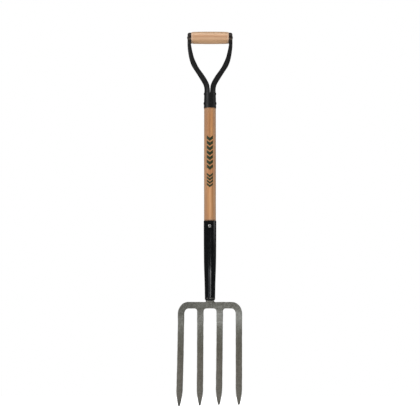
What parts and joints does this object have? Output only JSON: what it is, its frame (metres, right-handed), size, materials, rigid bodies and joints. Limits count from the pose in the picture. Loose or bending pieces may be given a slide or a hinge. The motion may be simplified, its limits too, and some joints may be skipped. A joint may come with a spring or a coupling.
{
  "type": "digging fork",
  "caption": "Garden digging fork: forged steel tines on a crossbar with foot treads, tapered ferrule, wooden shaft and a riveted steel D-grip with a turned wooden hand grip.",
  "frame": {"origin": "on the ground under the shaft's axis: the tine tips stand on z = 0", "axes": "+Z runs from the tine tips up the shaft's axis to the grip, +X runs across the head to the right as seen from the front, the front of the tines faces -Y"},
  "size_m": [0.1778, 0.0382, 1.0337],
  "materials": {
    "forged_steel": "forged, tumbled, dull grey",
    "gloss_black": "gloss",
    "bright_steel": "bright",
    "shaft_wood": "clear varnish",
    "satin_black": "satin",
    "grip_wood": "clear varnish"
  },
  "bodies": {
    "root": {"fork_head": "forged_steel", "ferrule": "gloss_black", "ferrule_rivet": "bright_steel", "shaft": "shaft_wood", "yoke_left": "satin_black", "yoke_right": "satin_black", "socket_rivet_upper": "satin_black", "socket_rivet_lower": "satin_black", "cross_grip": "grip_wood", "grip_rod": "satin_black"}
  },
  "joints": []
}
